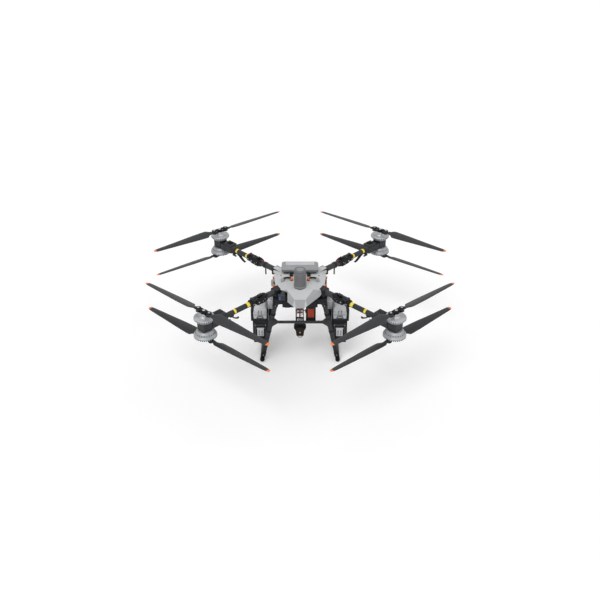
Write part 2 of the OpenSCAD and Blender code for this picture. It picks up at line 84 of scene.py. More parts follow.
def finish(name, low, high, grain_mm, bump, rough=(0.4, 0.5), metallic=0.0, coat=0.0, wear=None,
           specular=0.5):
    """A moulded, cast or machined finish: colour mottled between two hex values, and a bumped grain."""
    mat = bpy.data.materials.new(name)
    mat.use_nodes = True
    tree = mat.node_tree
    shader = tree.nodes["Principled BSDF"]
    shader.inputs["Metallic"].default_value = metallic
    shader.inputs["Coat Weight"].default_value = coat
    shader.inputs["Specular IOR Level"].default_value = specular
    place = add(tree, "ShaderNodeTexCoord").outputs["Object"]
    grain = add(tree, "ShaderNodeTexNoise", {"Vector": place, "Scale": 1 / (grain_mm * MM), "Detail": 3.0})
    cloud = add(tree, "ShaderNodeTexNoise", {"Vector": place, "Scale": CLOUD_SCALE, "Detail": 4.0})
    mixed = add(tree, "ShaderNodeMix", {"Factor": cloud.outputs[0], 6: linear(low), 7: linear(high)},
                data_type="RGBA")
    colour = mixed.outputs[2]
    if wear:
        # Pale rubbing along the edges, from how sharply the surface turns
        edge = add(tree, "ShaderNodeNewGeometry").outputs["Pointiness"]
        sharp = add(tree, "ShaderNodeMapRange",
                    {"Value": edge, 1: WEAR_FROM, 2: WEAR_FULL, 3: 0.0, 4: WEAR_SHARE}).outputs[0]
        colour = add(tree, "ShaderNodeMix", {"Factor": sharp, 6: colour, 7: linear(wear)},
                     data_type="RGBA").outputs[2]
    tree.links.new(colour, shader.inputs["Base Color"])
    spread = add(tree, "ShaderNodeMapRange", {"Value": grain.outputs[0], 3: rough[0], 4: rough[1]})
    tree.links.new(spread.outputs[0], shader.inputs["Roughness"])
    relief = add(tree, "ShaderNodeBump", {"Height": grain.outputs[0], "Strength": bump,
                                          "Distance": GRAIN_DEPTH})
    tree.links.new(relief.outputs[0], shader.inputs["Normal"])
    return mat


def woven(name, low, high, tow_mm, gloss):
    """Twill carbon laminate: tows over and under on a slant, under clear resin. The tows are drawn
    two to three times their real 2 mm so that they show."""
    mat = bpy.data.materials.new(name)
    mat.use_nodes = True
    tree = mat.node_tree
    shader = tree.nodes["Principled BSDF"]
    shader.inputs["Specular IOR Level"].default_value = 0.3
    place = add(tree, "ShaderNodeTexCoord").outputs["Object"]
    waves = []
    for turn in (0.78, -0.78):
        spun = add(tree, "ShaderNodeMapping", {"Vector": place, "Rotation": (turn, turn * 0.5, turn)})
        wave = add(tree, "ShaderNodeTexWave",
                   {"Vector": spun.outputs[0], "Scale": WAVE_PERIOD / (tow_mm * MM), "Distortion": 0.4},
                   wave_profile="TRI")
        waves.append(wave.outputs[0])
    weave = add(tree, "ShaderNodeMath", {0: waves[0], 1: waves[1]}, operation="MULTIPLY").outputs[0]
    cloud = add(tree, "ShaderNodeTexNoise", {"Vector": place, "Scale": 11.0, "Detail": 3.0}).outputs[0]
    tone = add(tree, "ShaderNodeMath", {0: weave, 1: cloud}, operation="ADD").outputs[0]
    mixed = add(tree, "ShaderNodeMix", {"Factor": tone, 6: linear(low), 7: linear(high)}, data_type="RGBA")
    tree.links.new(mixed.outputs[2], shader.inputs["Base Color"])
    spread = add(tree, "ShaderNodeMapRange", {"Value": weave, 3: gloss, 4: gloss + 0.14}).outputs[0]
    tree.links.new(spread, shader.inputs["Roughness"])
    relief = add(tree, "ShaderNodeBump", {"Height": weave, "Strength": 0.18, "Distance": 0.0003})
    tree.links.new(relief.outputs[0], shader.inputs["Normal"])
    return mat


# Satin ABS sprayed light grey: fine orange peel, pale edges
SHELL = finish("satin light grey ABS", "#bdbebf", "#c8c9ca", 1.6, 0.10, (0.40, 0.50), wear="#dcdddd",
               specular=0.35)
# The same ABS painted darker on the facets of the nose: painted shade
SHELL_PAINTED_SHADE = finish("satin light grey ABS, painted shade", "#9c9d9f", "#a9aaac", 1.6, 0.10, (0.40, 0.50),
                    wear="#cfd0d1", specular=0.35)
# Glass-filled nylon: nearly black, with a dull grain and greyer rubbed edges
NYLON = finish("glass filled nylon", "#0e0f10", "#17181a", 1.2, 0.30, (0.45, 0.62), wear="#313235",
               specular=0.18)
# Nylon moulded in charcoal: lighter and a little smoother than the black
CHARCOAL = finish("charcoal moulded nylon", "#2b2c2e", "#37383b", 1.4, 0.22, (0.42, 0.55),
                  wear="#46474a", specular=0.22)
# Rolled carbon tube: a slant weave that shows faintly under clear resin
TUBE = woven("twill carbon tube", "#1d1e20", "#3a3b3e", 5.0, 0.40)
# Pressed laminate of the blades: dark and satin, greyer along the edges
BLADE = finish("pressed carbon blade", "#252628", "#37383a", 2.5, 0.12, (0.36, 0.50), wear="#48494b",
               specular=0.3)
# Moulded ABS of plugs, catches and buttons: bright, with a low sheen
ORANGE = finish("orange moulded ABS", "#ec6a1c", "#f98636", 1.2, 0.12, (0.35, 0.45))
# Lacquer on the blade tips: smoother and glossier than the ABS
TIP = finish("orange tip lacquer", "#f0722c", "#fb944e", 1.5, 0.08, (0.30, 0.40))
# Bead-blasted aluminium of the motor bells: soft, even and pale along its edges
BELL = finish("bead blasted aluminium", "#96999c", "#adb0b3", 0.9, 0.22, (0.38, 0.52), metallic=0.35,
              wear="#d3d5d8")
# The same aluminium painted lighter, with tighter highlights: on the flat tops of the upper bells its
# lightness is a painted highlight, and it is also the pale colour of the lower caps and the hook ring
PALE_METAL_AND_HIGHLIGHT = finish("pale aluminium and painted highlight", "#b4b7ba", "#c6c8cb", 0.8, 0.10, (0.28, 0.38),
                    metallic=0.35)
# ABS of the pod: dull mid grey with worn corners
POD = finish("mid grey ABS", "#838587", "#949698", 1.5, 0.14, (0.42, 0.52), wear="#b4b6b8")
# The darker ABS of its bands
POD_DARK = finish("dark grey ABS", "#6b6d6f", "#7a7c7e", 1.5, 0.14, (0.42, 0.52))
# Radome plastic of the tower: plain dark grey and satin
TOWER = finish("radome plastic", "#616162", "#6e6e70", 1.4, 0.12, (0.40, 0.50), wear="#8f9092")
# Turned steel of pins and screws: bright, with tight highlights
STEEL = finish("turned steel", "#a9abad", "#c9cbcd", 0.6, 0.10, (0.22, 0.34), metallic=1.0)
# Rubber of feet and leads: black, without gloss
RUBBER = finish("matt black rubber", "#0b0b0c", "#131314", 1.0, 0.25, (0.70, 0.85), specular=0.15)
# Reflective tape: strong yellow under a smooth film
YELLOW = finish("yellow reflective tape", "#ecd02a", "#f7e04a", 1.8, 0.20, (0.30, 0.42))
# Anodised fins of the winch motor: warm red, faintly metallic
RED = finish("red anodised fins", "#b3472e", "#d0593c", 1.0, 0.20, (0.36, 0.48), metallic=0.2)
# Webbing of the winch strap: dark red, rough and dull
DARK_RED = finish("dark red strap", "#6d1e18", "#8b2a22", 1.2, 0.30, (0.55, 0.7))
# Nylon of the battery cases: a shade lighter than the frame's
CASE = finish("battery case nylon", "#17181a", "#222326", 1.4, 0.26, (0.45, 0.58), wear="#3e3f42",
              specular=0.2)
# ABS of the battery heads: pale grey, smoother than the cases
HEAD = finish("battery head ABS", "#a4a7aa", "#bcbec1", 1.3, 0.14, (0.36, 0.46), wear="#dcdddf")
# Lens glass under a clear coat: the deep blue of its reflection is painted into the colour; nearly mirror
# smooth
LENS_PAINTED_REFLECTION = finish("lens glass with painted blue reflection", "#173a94", "#3d78dc", 3.0, 0.0, (0.04, 0.08), coat=1.0)
# Moulded camera housing: dark and evenly satin
HOUSING = finish("camera housing", "#242528", "#323336", 1.2, 0.16, (0.35, 0.45), wear="#505154",
                 specular=0.25)
# Braided winch line: a rough dark red cord
CORD = finish("braided line", "#7d231c", "#9c3328", 0.9, 0.5, (0.6, 0.75))


# ---------------------------------------------------------------- shapes
def merged(*parts):
    """Several bmeshes as one."""
    whole = parts[0]
    for part in parts[1:]:
        carrier = bpy.data.meshes.new("carrier")
        part.to_mesh(carrier)
        part.free()
        whole.from_mesh(carrier)
        bpy.data.meshes.remove(carrier)
    return whole


def soften(bm, width, angle=0.6, segments=2):
    """Rounds the edges that turn by more than an angle."""
    sharp = [e for e in bm.edges if len(e.link_faces) == 2 and e.calc_face_angle(0) > angle]
    if width and sharp:
        bmesh.ops.bevel(bm, geom=sharp, offset=width * MM, affect="EDGES", segments=segments, profile=0.5,
                        material=-1, clamp_overlap=True)
    return bm


def put(bm, matrix):
    """Moves or turns a shape."""
    bmesh.ops.transform(bm, matrix=matrix, verts=bm.verts)
    return bm


def box(x0, x1, y0, y1, z0, z1, soft=1.5):
    """A rounded block between two corners, in millimetres."""
    bm = bmesh.new()
    bmesh.ops.create_cube(bm, size=1)
    size = Vector((x1 - x0, y1 - y0, z1 - z0)) * MM
    middle = Vector((x1 + x0, y1 + y0, z1 + z0)) * MM / 2
    put(bm, Matrix.Translation(middle) @ Matrix.Diagonal(size).to_4x4())
    return soften(bm, soft)


def lathe(profile, steps=64, soft=0.0):
    """A turned shape about Z from [radius, height] pairs in millimetres, on the axis at both ends."""
    bm = bmesh.new()
    line = [bm.verts.new((r * MM, 0, z * MM)) for r, z in profile]
    edges = [bm.edges.new(pair) for pair in zip(line, line[1:])]
    bmesh.ops.spin(bm, geom=line + edges, axis=(0, 0, 1), cent=(0, 0, 0), angle=2 * pi, steps=steps,
                   use_merge=True)
    bmesh.ops.remove_doubles(bm, verts=bm.verts, dist=1e-5)
    return soften(bm, soft)


def slab(points, z0, z1, soft=1.5):
    """A flat outline in millimetres, given a thickness."""
    bm = bmesh.new()
    face = bm.faces.new([bm.verts.new((x * MM, y * MM, z0 * MM)) for x, y in points])
    grown = bmesh.ops.extrude_face_region(bm, geom=[face])["geom"]
    up = [v for v in grown if isinstance(v, bmesh.types.BMVert)]
    bmesh.ops.translate(bm, verts=up, vec=(0, 0, (z1 - z0) * MM))
    return soften(bm, soft)


def rod(start, end, radius, soft=0.6, sides=32):
    """A round bar between two points in millimetres."""
    a, b = Vector(start) * MM, Vector(end) * MM
    bm = bmesh.new()
    bmesh.ops.create_cone(bm, cap_ends=True, segments=sides, radius1=radius * MM, radius2=radius * MM,
                          depth=(b - a).length)
    turn = Vector((0, 0, 1)).rotation_difference((b - a).normalized()).to_matrix().to_4x4()
    return put(soften(bm, soft, 1.0), Matrix.Translation((a + b) / 2) @ turn)


def around(count, make, first=0.0):
    """Copies of a shape at equal steps about Z."""
    return merged(*[put(make(), Matrix.Rotation(first + 2 * pi * k / count, 4, "Z")) for k in range(count)])


def piece(name, bm, body, look, sharp=0.7):
    """Makes a finished piece that rides on a body."""
    bmesh.ops.recalc_face_normals(bm, faces=bm.faces)
    mesh = bpy.data.meshes.new(name)
    bm.to_mesh(mesh)
    bm.free()
    mesh.materials.append(look)
    mesh.shade_smooth()
    mesh.set_sharp_from_angle(angle=sharp)
    obj = bpy.data.objects.new(name, mesh)
    bpy.context.scene.collection.objects.link(obj)
    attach(obj, body)
    return obj


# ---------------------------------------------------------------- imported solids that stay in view
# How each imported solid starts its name, its finish, and how far its edges are rounded in millimetres
NODE_LOOKS = (
    ("top_shell", SHELL, 2.0), ("sensor_tower", TOWER, 1.0), ("parachute_pod", POD, 2.5),
    ("power_leads", RUBBER, 0), ("lead_plugs", ORANGE, 0), ("power_boxes", HEAD, 3.0),
    ("battery_bays", NYLON, 1.0), ("battery_left", CASE, 1.5), ("battery_right", CASE, 1.5),
    ("landing_legs", TUBE, 0), ("skid_tubes", TUBE, 0), ("skid_caps", RUBBER, 0),
    ("cross_braces", TUBE, 0), ("inner_arms", TUBE, 0), ("arm_tube", CHARCOAL, 0),
    ("hinge_pins", CHARCOAL, 0), ("winch_frame", NYLON, 1.0), ("winch_motor", RED, 1.5),
    ("winch_drum", STEEL, 0), ("winch_line", CORD, 0), ("cargo_hook", NYLON, 1.0),
    ("camera", HOUSING, 1.0), ("motor_mount", CHARCOAL, 1.2), ("lock_lever", CHARCOAL, 0.8),
    ("hinge_brackets", NYLON, 1.2), ("centre_frame", NYLON, 0), ("antennas", NYLON, 0),
    ("rotor", BELL, 0), ("blade", BLADE, 0),
)
# Corners closer than this are welded, and edges that turn by more degrees than this are rounded
WELD, ROUND_FROM = 2e-5, 32


def dress_nodes():
    """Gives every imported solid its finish, and rounds the edges of those that show them."""
    for name, node in NODES.items():
        look, width = next(row[1:] for row in NODE_LOOKS if name.startswith(row[0]))
        node.data.materials.clear()
        node.data.materials.append(look)
        weld = node.modifiers.new("weld", "WELD")
        weld.merge_threshold = WELD
        if width:
            rim = node.modifiers.new("edge", "BEVEL")
            rim.width = width * MM
            rim.segments = 2
            rim.limit_method = "ANGLE"
            rim.angle_limit = radians(ROUND_FROM)
            rim.use_clamp_overlap = True
            rim.harden_normals = False


dress_nodes()


# ---------------------------------------------------------------- places on the arms and rotors
def flat(joint):
    """Where a joint stands, in millimetres."""
    return Vector(JOINT[joint]["pos_m"]) / MM


def frame_at(origin, along, up=Vector((0, 0, 1))):
    """A matrix with X along a heading and Z up, at a point in millimetres."""
    x = along.normalized()
    turn = Matrix((x, up.cross(x), up)).transposed().to_4x4()
    return Matrix.Translation(origin * MM) @ turn


def rotor_frame(end, level):
    """At a rotor's centre, with X along its blades."""
    centre, pin = flat(f"spin_{end}_{level}"), flat(f"fold_{end}_{level}_a")
    plane = sum(p[2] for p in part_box(f"blade_{end}_{level}_a")) / 2 / MM
    along = Vector((pin[0] - centre[0], pin[1] - centre[1], 0))
    return frame_at(Vector((centre[0], centre[1], plane)), along)


def arm_frame(end, origin="motor"):
    """At a motor or a fold pin, with X pointing outboard along the arm."""
    pivot, motor = flat(f"arm_fold_{end}"), flat(f"spin_{end}_upper")
    along = Vector((motor[0] - pivot[0], motor[1] - pivot[1], 0))
    start = Vector((motor[0], motor[1], pivot[2])) if origin == "motor" else pivot
    return frame_at(start, along)


# ---------------------------------------------------------------- propellers
# From the rotor's centre to the blade's pin and to its tip, and the widest chord, in millimetres
BLADE_ROOT, BLADE_REACH, BLADE_CHORD = 60, 685.8, 94
# Along the blade: share of reach, leading edge, trailing edge (shares of chord), thickness, pitch in degrees
BLADE_STATIONS = (
    (0.125, 0.20, -0.20, 13, 16), (0.150, 0.24, -0.22, 13, 16), (0.172, 0.36, -0.24, 12.5, 15.6),
    (0.190, 0.45, -0.30, 12, 15.2), (0.206, 0.485, -0.45, 11.4, 14.8), (0.225, 0.495, -0.49, 11, 14.4),
    (0.260, 0.495, -0.495, 10.2, 13.8), (0.330, 0.48, -0.48, 9.2, 12.8), (0.400, 0.465, -0.46, 8.2, 11.8),
    (0.500, 0.425, -0.42, 7.4, 10.9), (0.600, 0.38, -0.375, 6.7, 9.9), (0.700, 0.34, -0.335, 6.0, 8.9),
    (0.800, 0.30, -0.295, 5.3, 7.9), (0.880, 0.265, -0.26, 4.7, 7.3), (0.930, 0.245, -0.24, 4.3, 6.9),
    (0.966, 0.21, -0.205, 3.8, 6.9),
)
TIP_STATIONS = (
    (0.967, 0.21, -0.205, 3.8, 6.9), (0.980, 0.19, -0.175, 3.4, 6.9), (0.990, 0.155, -0.13, 3.1, 6.9),
    (0.9985, 0.08, -0.07, 2.7, 6.9),
)


def loft(stations, hand):
    """An aerofoil carried along X: one ring extruded from station to station, its leading edge high."""
    bm = bmesh.new()
    ring = bmesh.ops.create_circle(bm, cap_ends=False, segments=20, radius=1)["verts"]
    unit = [(v.co.x, v.co.y) for v in ring]
    first = list(ring)
    for number, (share, lead, trail, thick, pitch) in enumerate(stations):
        if number:
            edges = {e for v in ring for e in v.link_edges if e.other_vert(v) in ring}
            grown = bmesh.ops.extrude_edge_only(bm, edges=list(edges))["geom"]
            fresh = [v for v in grown if isinstance(v, bmesh.types.BMVert)]
            ring = [min(fresh, key=lambda f, o=v: (f.co - o.co).length) for v in ring]
        half, middle = (lead - trail) / 2 * BLADE_CHORD, (lead + trail) / 2 * BLADE_CHORD
        for vert, (a, b) in zip(ring, unit):
            # a is +1 at the leading edge, and b is up; the trailing half thins away
            body = thick / 2 * b * (1 if a > -0.1 else 1 - 0.75 * (-a - 0.1))
            camber = 0.16 * thick * (1 - a * a)
            across, rise = middle + a * half, body + camber
            tilt = radians(pitch)
            vert.co = Vector((share * BLADE_REACH, -hand * (across * cos(tilt) - rise * sin(tilt)),
                              across * sin(tilt) + rise * cos(tilt))) * MM
    bmesh.ops.contextual_create(bm, geom=first)
    bmesh.ops.contextual_create(bm, geom=list(ring))
    return bm


def blade(end, level, side):
    """One folding blade: eye, shank and lofted span, with a lacquered tip."""
    # Lower rotors of one diagonal turn clockwise from above, and each upper rotor turns against its lower
    clockwise = (end in ("fl", "rr")) == (level == "lower")
    hand = 1 if clockwise else -1
    place = rotor_frame(end, level) @ Matrix.Rotation(0 if side == "a" else pi, 4, "Z")
    eye = lathe([(0, -8), (18.4, -8), (19.6, -6.8), (19.6, 6.8), (18.4, 8), (0, 8)], 40)
    put(eye, Matrix.Translation((BLADE_ROOT * MM, 0, 0)))
    shank = box(BLADE_ROOT, 0.15 * BLADE_REACH, -14.5, 14.5, -5.8, 5.8, 3.5)
    body = f"blade_{end}_{level}_{side}"
    span = piece(f"span_{end}_{level}_{side}", put(merged(loft(BLADE_STATIONS, hand), eye, shank), place),
                 body, BLADE, 0.9)
    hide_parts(body)
    piece(f"tip_{end}_{level}_{side}", put(loft(TIP_STATIONS, hand), place), body, TIP,
          0.9)


def hub(end, level):
    """Clamp plates with waisted sides, pin heads, boss and screws."""
    place = rotor_frame(end, level)
    plates = []
    for z0, z1 in ((9.2, 15.8), (-15.8, -9.2)):
        half = [(-BLADE_ROOT, -17), (-30, -15), (30, -15), (BLADE_ROOT, -17)]
        plates.append(slab(half + [(-x, -y) for x, y in half], z0, z1, 1.2))
        for x in (-BLADE_ROOT, BLADE_ROOT):
            ring = lathe([(0, z0), (21.8, z0), (22.8, z0 + 1), (22.8, z1 - 1), (21.8, z1), (0, z1)], 40)
            plates.append(put(ring, Matrix.Translation((x * MM, 0, 0))))
    boss = lathe([(0, -9), (25, -9), (25, 9), (25.6, 9.4), (22, 10), (0, 10)], 48)
    knobs = [put(lathe([(0, 15), (6.5, 15), (6.5, 17.4), (5, 18), (0, 18)], 24),
                 Matrix.Translation((x * MM, y * MM, 0)))
             for x, y in ((-26, 9), (26, -9), (-26, -9), (26, 9))]
    piece(f"clamp_{end}_{level}", put(merged(boss, *plates, *knobs), place), f"rotor_{end}_{level}",
          NYLON)
    pins = []
    for x in (-BLADE_ROOT, BLADE_ROOT):
        for s in (-1, 1):
            head = lathe([(0, 15), (9.6, 15), (9.6, 18.2), (8.2, 19.3), (4.6, 19.3), (4.2, 17.6),
                          (0, 17.6)],
                         32)
            pins.append(put(head, Matrix.Translation((x * MM, 0, 0)) @ Matrix.Diagonal((1, 1, s, 1))))
    pins.append(lathe([(0, 10), (12, 10), (12, 16.5), (10.5, 18), (5, 18), (5, 16), (0, 16)], 40))
    piece(f"pins_{end}_{level}", put(merged(*pins), place), f"rotor_{end}_{level}", STEEL)


# ---------------------------------------------------------------- motors
def bell(end, level):
    """A bell motor: turned can with a slotted rim, fins underneath, and a shaft to the hub."""
    motor = flat(f"spin_{end}_{level}")
    body = f"rotor_{end}_{level}"
    place = frame_at(Vector((motor[0], motor[1], 0)), Vector((1, 0, 0)))
    if level == "upper":
        can = lathe([(0, 778), (60, 768), (66, 776), (72, 779), (79, 786.5), (83.4, 791.5), (83.4, 803.5),
                     (79, 806.6), (64, 807.6), (62, 808.4), (34, 808.8), (0, 808.8)], 96)
        cap = lathe([(0, 807), (80.4, 806.2), (80.9, 807), (79.8, 808.6), (35, 809.2), (33.5, 810),
                     (28, 815.8),
                     (27.6, 837), (26, 839), (0, 839)], 72)
        vents = around(30, lambda: box(71, 83.9, -2.6, 2.6, 792.5, 802.5, 0.6))
        light = None
    else:
        can = lathe([(0, 679), (60, 688), (66, 678), (76, 672), (80, 658), (92.4, 648), (92.4, 637),
                     (86, 630.4),
                     (40, 630.2), (28, 630.2), (0, 630.2)], 96)
        cap = lathe([(0, 633), (27.8, 632), (27.8, 624), (26, 621), (0, 621)], 48)
        slots = around(36, lambda: box(84, 92.9, -3.4, 3.4, 631.2, 642, 0.7))
        fins = around(24, lambda: box(64, 79, -1.8, 1.8, 664, 672.5, 0.5))
        vents = merged(slots, fins)
        heading = arm_frame(end).to_3x3() @ Vector((1, 0, 0))
        light = put(box(89.5, 92.9, -5, 5, 643.5, 647.5, 1.0),
                    Matrix.Rotation(atan2(heading[1], heading[0]), 4, "Z"))
    shape = piece(f"can_{end}_{level}", put(can, place), body, BELL, 0.5)
    # On the upper bells the lighter top disc is a painted highlight
    piece(f"face_{end}_{level}", put(cap, place), body, PALE_METAL_AND_HIGHLIGHT, 0.5)
    piece(f"slots_{end}_{level}", put(vents, place), body, NYLON)
    if light:
        piece(f"lamp_{end}", put(light, place), body, ORANGE)
    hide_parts(body)


for end in ENDS:
    for level in LEVELS:
        hub(end, level)
        bell(end, level)
        for side in "ab":
            blade(end, level, side)


# ---------------------------------------------------------------- body
def hull(points, soft=2.0):
    """A convex moulding round a few corner points in millimetres, given for one side and mirrored."""
    bm = bmesh.new()
    for x, y, z in points:
        for side in (1, -1):
            bm.verts.new((side * x * MM, y * MM, z * MM))
    bmesh.ops.remove_doubles(bm, verts=bm.verts, dist=1e-5)
    made = bmesh.ops.convex_hull(bm, input=bm.verts)
    spare = [g for g in made["geom_interior"] + made["geom_unused"] if isinstance(g, bmesh.types.BMVert)]
    bmesh.ops.delete(bm, geom=list(set(spare)), context="VERTS")
    bmesh.ops.dissolve_limit(bm, angle_limit=radians(2.5), verts=bm.verts, edges=bm.edges)
    return soften(bm, soft, 0.12)


def lump(points, soft=2.0):
    """A convex moulding round corner points in millimetres, on one side only."""
    bm = bmesh.new()
    for point in points:
        bm.verts.new(Vector(point) * MM)
    bmesh.ops.convex_hull(bm, input=bm.verts)
    bmesh.ops.dissolve_limit(bm, angle_limit=radians(2.5), verts=bm.verts, edges=bm.edges)
    return soften(bm, soft, 0.12)


def level_corners(x0, x1, y0, y1, z):
    """The four corners of a rectangle at one height."""
    return [(x, y, z) for y in (y0, y1) for x in (x0, x1)]


def paired(*points, about=0):
    """Each point on both sides of a line along X."""
    return [(x, about + s * y, z) for x, y, z in points for s in (-1, 1)]


def both(make):
    """A shape and its mirror image across the centre plane."""
    twin = make()
    put(twin, Matrix.Diagonal((-1, 1, 1, 1)))
    bmesh.ops.reverse_faces(twin, faces=twin.faces)
    return merged(make(), twin)


def cut(obj, cutter_bm):
    """Cuts a shape out of a finished piece, and applies the cut."""
    carrier = bpy.data.meshes.new("cutter")
    bmesh.ops.recalc_face_normals(cutter_bm, faces=cutter_bm.faces)
    cutter_bm.to_mesh(carrier)
    cutter_bm.free()
    tool = bpy.data.objects.new("cutter", carrier)
    bpy.context.scene.collection.objects.link(tool)
    mod = obj.modifiers.new("cut", "BOOLEAN")
    mod.operation, mod.solver, mod.object = "DIFFERENCE", "EXACT", tool
    bpy.context.view_layer.update()
    shaped = bpy.data.meshes.new_from_object(obj.evaluated_get(bpy.context.evaluated_depsgraph_get()))
    old = obj.data
    obj.modifiers.clear()
    obj.data = shaped
    shaped.name = old.name
    bpy.data.meshes.remove(old)
    bpy.data.objects.remove(tool)
    bpy.data.meshes.remove(carrier)
    shaped.set_sharp_from_angle(angle=0.5)


TOWER_LOW, TOWER_HIGH = [Vector(c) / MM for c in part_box("sensor_tower")]
TOWER_Y = (TOWER_LOW.y + TOWER_HIGH.y) / 2
TOWER_TOP = TOWER_HIGH.z
POD_LOW, POD_HIGH = [Vector(c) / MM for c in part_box("parachute_pod")]

SHELL_POINTS = ((228, 55, 757), (206, -138, 739), (174, -192, 739), (167, -226, 699), (112, -206, 755),
                (46, -300, 712), (34, -330, 645), (60, -318, 659), (150, 20, 773.5), (120, -110, 768),
                (160, 60, 768), (206, -120, 703), (221, 60, 703), (62, -262, 730))


def shell():
    """The light upper moulding: deck, shoulders and a faceted nose, notched for the nose camera."""
    bm = hull(SHELL_POINTS, 0)
    bmesh.ops.recalc_face_normals(bm, faces=bm.faces)
    for face in bm.faces:
        middle, n = face.calc_center_median() / MM, face.normal
        side_facet = abs(middle.x) > 55 and middle.y < -205 and n.z > 0.15
        chin = abs(middle.x) < 30 and middle.y < -300
        # The side facets and chin of the nose take the darker copy: painted shade
        face.material_index = 1 if side_facet or chin else 0
    panels = [f for f in bm.faces if f.normal.z > 0.3 and f.calc_area() > 0.0012]
    bmesh.ops.inset_individual(bm, faces=panels, thickness=0.0035, depth=-0.0009, use_even_offset=True)
    soften(bm, 1.6, 0.2)
    obj = piece("shell_moulding", bm, "root", SHELL, 0.35)
    obj.data.materials.append(SHELL_PAINTED_SHADE)
    cam_high = Vector(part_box("camera")[1]) / MM
    cut(obj, box(-400, cam_high.x + 22, -400, cam_high.y + 22, 600, 742, 0))
    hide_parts("top_shell")
    screws = [both(lambda: rod((x, y, z - 4), (x, y, z + 1.2), 4.2)) for x, y, z in
              ((163, 2, 770.5), (196, 38, 762.5), (186, -150, 742), (132, 44, 771))]
    piece("shell_screws", merged(*screws), "root", NYLON)
    bars = both(lambda: lump([(88, -18, 770), (150, -14, 770), (150, 14, 770), (88, 12, 770),
                              (92, -14, 778),
                              (146, -11, 777.5), (146, 10, 777.5), (92, 9, 778)], 2))
    piece("deck_bars", bars, "root", SHELL)


def tower():
    """The sensor tower: flared foot, a lighter rim, a recessed band and a dished top."""
    low, top = TOWER_LOW.z, TOWER_TOP
    body = lathe([(0, low), (53.5, low), (53.6, 764), (52.4, 770), (51, 782), (50, 800), (49.4, top - 46),
                  (49.4, top - 42), (46.5, top - 40), (46.5, top - 16), (49, top - 14), (49, top - 7),
                  (46, top - 1.6),
                  (43, top - 0.6), (41, top - 2.6), (0, top - 2.6)], 96, 0.8)
    obj = piece("tower_cover", put(body, Matrix.Translation((0, TOWER_Y * MM, 0))), "root",
                TOWER, 0.5)
    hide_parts("sensor_tower")
    band = lathe([(0, top - 38), (46.9, top - 38), (46.9, top - 18), (0, top - 18)], 96, 0.5)
    ribs = around(28, lambda: box(45.5, 48.2, -1.4, 1.4, top - 37, top - 19, 0.5))
    piece("tower_band", put(merged(band, ribs), Matrix.Translation((0, TOWER_Y * MM, 0))), "root",
          POD_DARK)
    rings = merged(lathe([(0, top - 4), (30, top - 4), (30, top - 1.8), (26, top - 1.8), (26, top - 2.4),
                          (0, top - 2.4)], 64, 0.3),
                   lathe([(0, 768), (53.8, 768), (53.8, 772), (52, 774), (0, 774)], 96, 0.4))
    piece("tower_rings", put(rings, Matrix.Translation((0, TOWER_Y * MM, 0))), "root", POD)


def pod():
    """The parachute pod: chamfered lid over two ridged bands, on dark supports."""
    x, y0, y1, z0, z1 = POD_HIGH.x, POD_LOW.y, POD_HIGH.y, POD_LOW.z, POD_HIGH.z
    lid = hull([(x - 1, y0 + 6, z0 + 26), (x - 1, y1 - 8, z0 + 26), (x - 2, y0 + 12, z0 + 40),
                (x - 2, y1 - 8, z0 + 40), (x - 20, y0 + 36, z1 - 0.6), (x - 20, y1 - 26, z1 - 0.6),
                (x - 14, y0 + 2, z0 + 26)], 3)
    obj = piece("pod_lid", lid, "root", POD, 0.4)
    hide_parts("parachute_pod")
    # A thin pale sheet on top of the lid: a painted highlight
    panel = hull([(x - 34, y0 + 42, z1 - 3), (x - 34, y1 - 32, z1 - 3), (x - 36, y0 + 44, z1 - 0.1),
                  (x - 36, y1 - 34, z1 - 0.1)], 1)
    piece("pod_lid_highlight", panel, "root", PALE_METAL_AND_HIGHLIGHT, 0.4)
    bands = []
    for a, b, inset in ((0, 7, 10), (8, 15, 4), (16, 24.5, 0)):
        outline = ((x - inset - 12, y0 + inset), (x - inset, y0 + inset + 9), (x - inset, y1 - inset - 6),
                   (x - inset - 8, y1 - inset))
        bands.append(hull([(px, py, z0 + height) for height in (a, b) for px, py in outline], 1.4))
    piece("pod_bands", merged(*bands), "root", POD_DARK, 0.4)
    dark = [both(lambda: box(60, 88, y0 - 34, y1 - 10, 766, z0 + 1, 3)),
            box(-30, 30, y0 - 2, y0 + 30, z0 + 4, z0 + 27, 3),
            both(lambda: box(96, 140, y0 + 24, y0 + 70, 768, z0 + 1, 3))]
    piece("pod_supports", merged(*dark), "root", NYLON)
    latches = both(lambda: box(x - 60, x - 42, y1 - 3, y1 + 0.1, z0 + 14, z0 + 40, 1.2))
    piece("pod_latches", latches, "root", NYLON)


def leads():
    """Grey power sockets, orange plugs and the strain reliefs of the leads."""
    low, high = [Vector(c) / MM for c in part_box("lead_plugs")]
    y = (low.y + high.y) / 2
    socket = both(lambda: lump([(132, y - 15, 762), (164, y - 15, 762), (166, y + 20, 762),
                                (130, y + 22, 762),
                                (136, y - 9, 792), (160, y - 9, 792), (158, y + 12, 790),
                                (138, y + 12, 790)], 4))
    obj = piece("power_sockets", socket, "root", POD)
    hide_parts("lead_plugs")
    plug = both(lambda: put(lathe([(0, 740), (8.6, 740), (8.6, 774), (10.6, 778), (11, 784), (9.6, 790),
                                   (6, 793.6),
                                   (0, 795)], 40), Matrix.Translation((70 * MM, (y + 4) * MM, 0))))
    piece("lead_plug_caps", plug, "root", ORANGE)
    collars = both(lambda: put(lathe([(0, 766), (12, 766), (12, 769), (10, 771.5), (0, 771.5)], 40),
                               Matrix.Translation((70 * MM, (y + 4) * MM, 0))))
    piece("plug_collars", collars, "root", NYLON)


